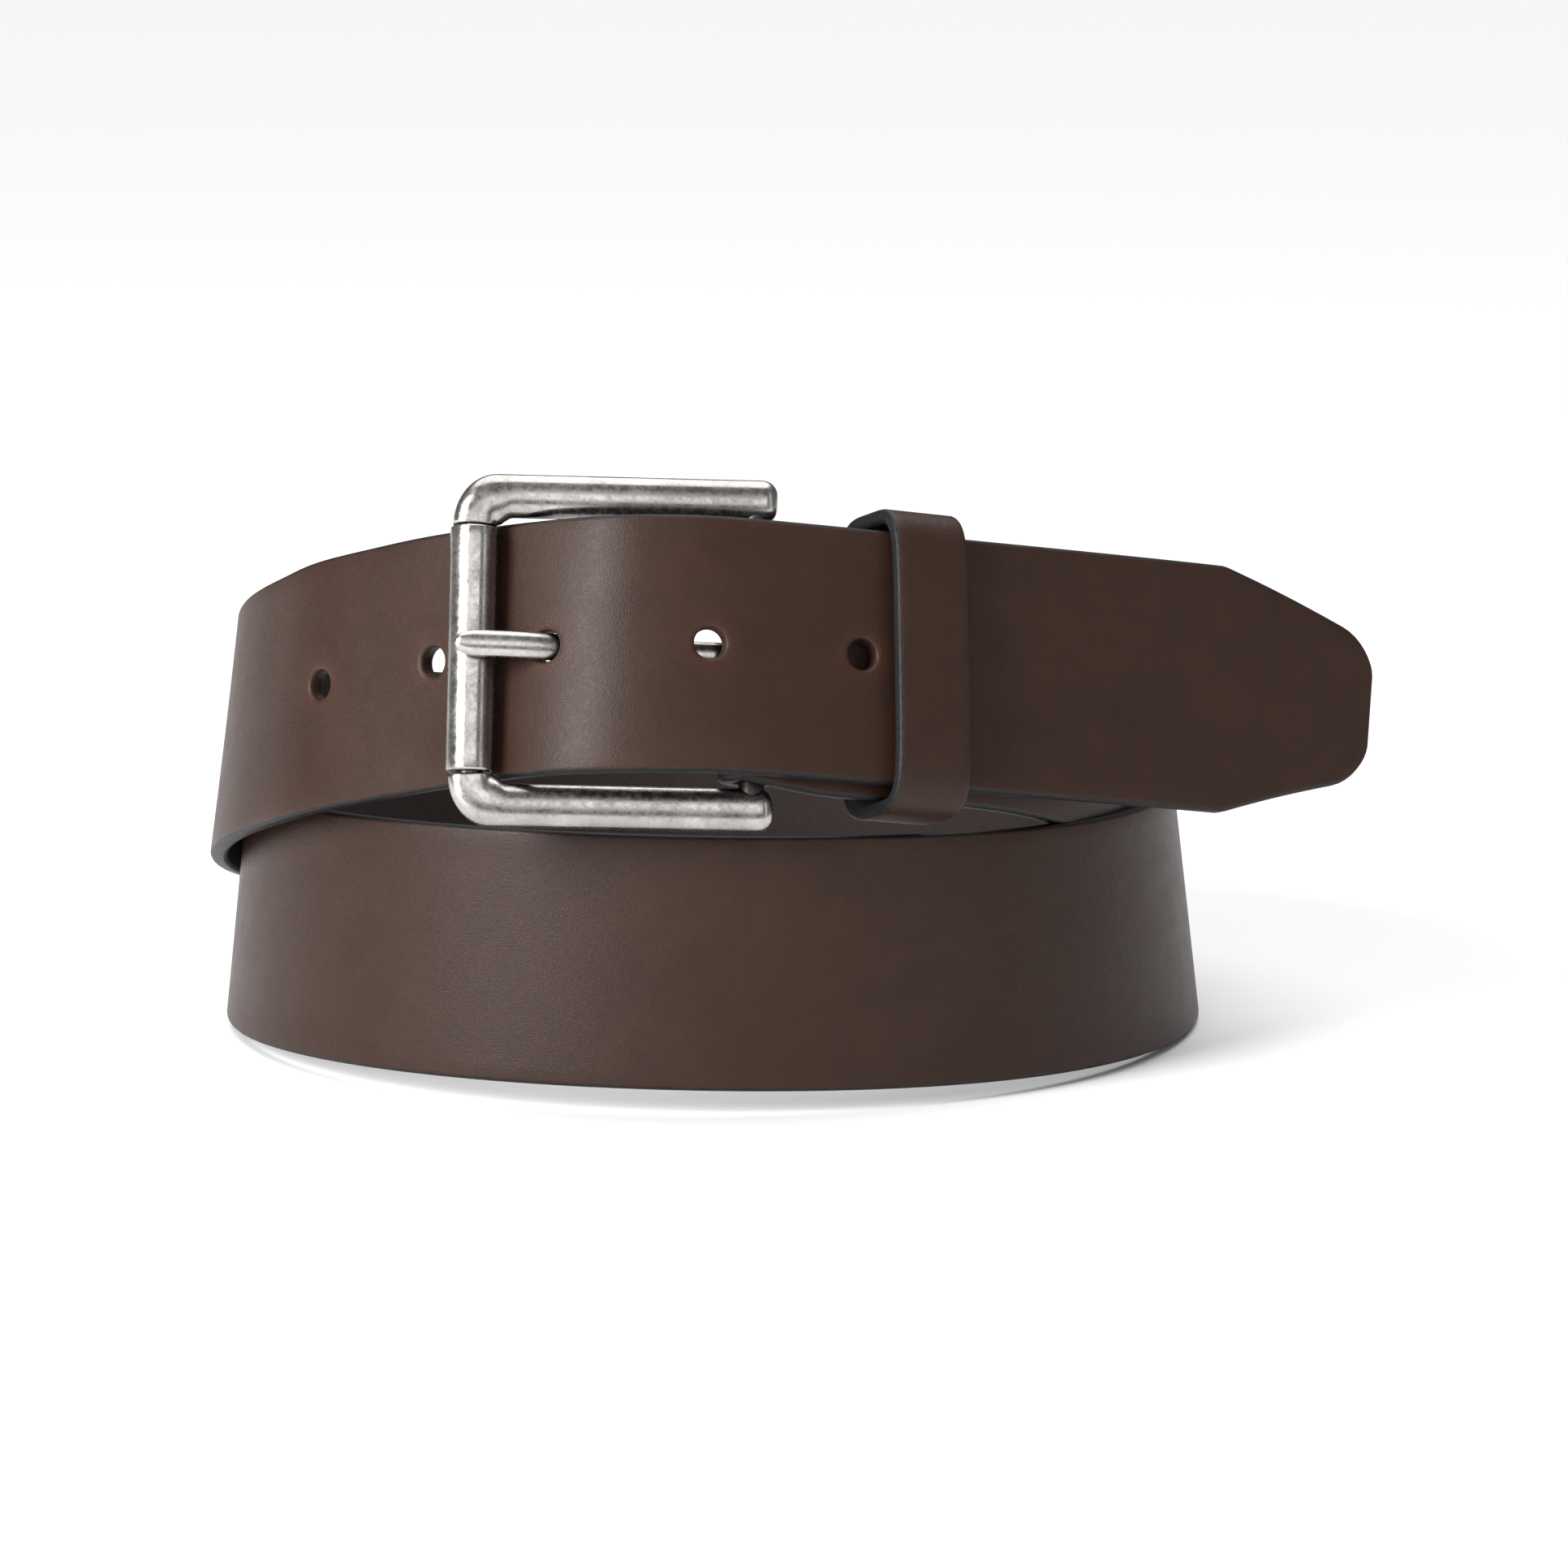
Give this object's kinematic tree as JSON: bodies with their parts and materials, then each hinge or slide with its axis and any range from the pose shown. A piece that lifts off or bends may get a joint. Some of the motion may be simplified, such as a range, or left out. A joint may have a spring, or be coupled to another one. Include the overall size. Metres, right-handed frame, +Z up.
{
  "type": "leather belt",
  "caption": "A dark brown smooth leather belt, buckled and coiled, with a rectangular roller buckle, a prong, punched holes, a leather keeper and a tapered free tail.",
  "frame": {"origin": "centre of the bounding box in X and Y, on the plane that the coiled belt stands on", "axes": "+X is the way the free tail points, -Y is the front with the buckle, +Z is up"},
  "size_m": [0.1928, 0.175, 0.1003],
  "materials": {
    "strap_leather": "smooth dark brown full-grain leather, low sheen, painted edges",
    "keeper_leather": "the same leather as the strap, thinner",
    "aged_nickel": "old silver plating, fine scratches, darker in the recesses",
    "bar_steel": "plain plated steel"
  },
  "bodies": {
    "strap_body": {"strap": "strap_leather", "fold_posts": "bar_steel", "fold_screws": "bar_steel"},
    "frame_body": {"buckle_frame": "aged_nickel", "heel_bar": "bar_steel"},
    "roller_body": {"roller": "aged_nickel"},
    "prong_body": {"prong": "aged_nickel"},
    "keeper_body": {"keeper": "keeper_leather", "keeper_staples": "bar_steel"},
    "tail_body": {"tail": "strap_leather"}
  },
  "joints": [
    {"name": "buckle_rock", "type": "hinge", "parent": "strap_body", "child": "frame_body", "pos_m": [-0.00454, -0.06926, 0.07189], "axis": [0.0147, 0.2935, 0.9558], "range_deg": [0, 2]},
    {"name": "roller_spin", "type": "hinge", "parent": "frame_body", "child": "roller_body", "pos_m": [-0.04816, -0.07155, 0.07326], "axis": [0.0147, 0.2935, 0.9558], "continuous": true},
    {"name": "prong_lift", "type": "hinge", "parent": "frame_body", "child": "prong_body", "pos_m": [-0.00454, -0.06926, 0.07189], "axis": [0.0147, 0.2935, 0.9558], "range_deg": [0, 3]},
    {"name": "keeper_slide", "type": "slide", "parent": "strap_body", "child": "keeper_body", "axis": [0.868, 0.4736, -0.1493], "range_m": [-0.004, 0.004]},
    {"name": "tail_flex", "type": "hinge", "parent": "strap_body", "child": "tail_body", "pos_m": [0.03224, -0.05957, 0.06864], "axis": [-0.0086, 0.3121, 0.95], "range_deg": [-20, 8], "stiffness_Nm_per_rad": 0.15}
  ]
}
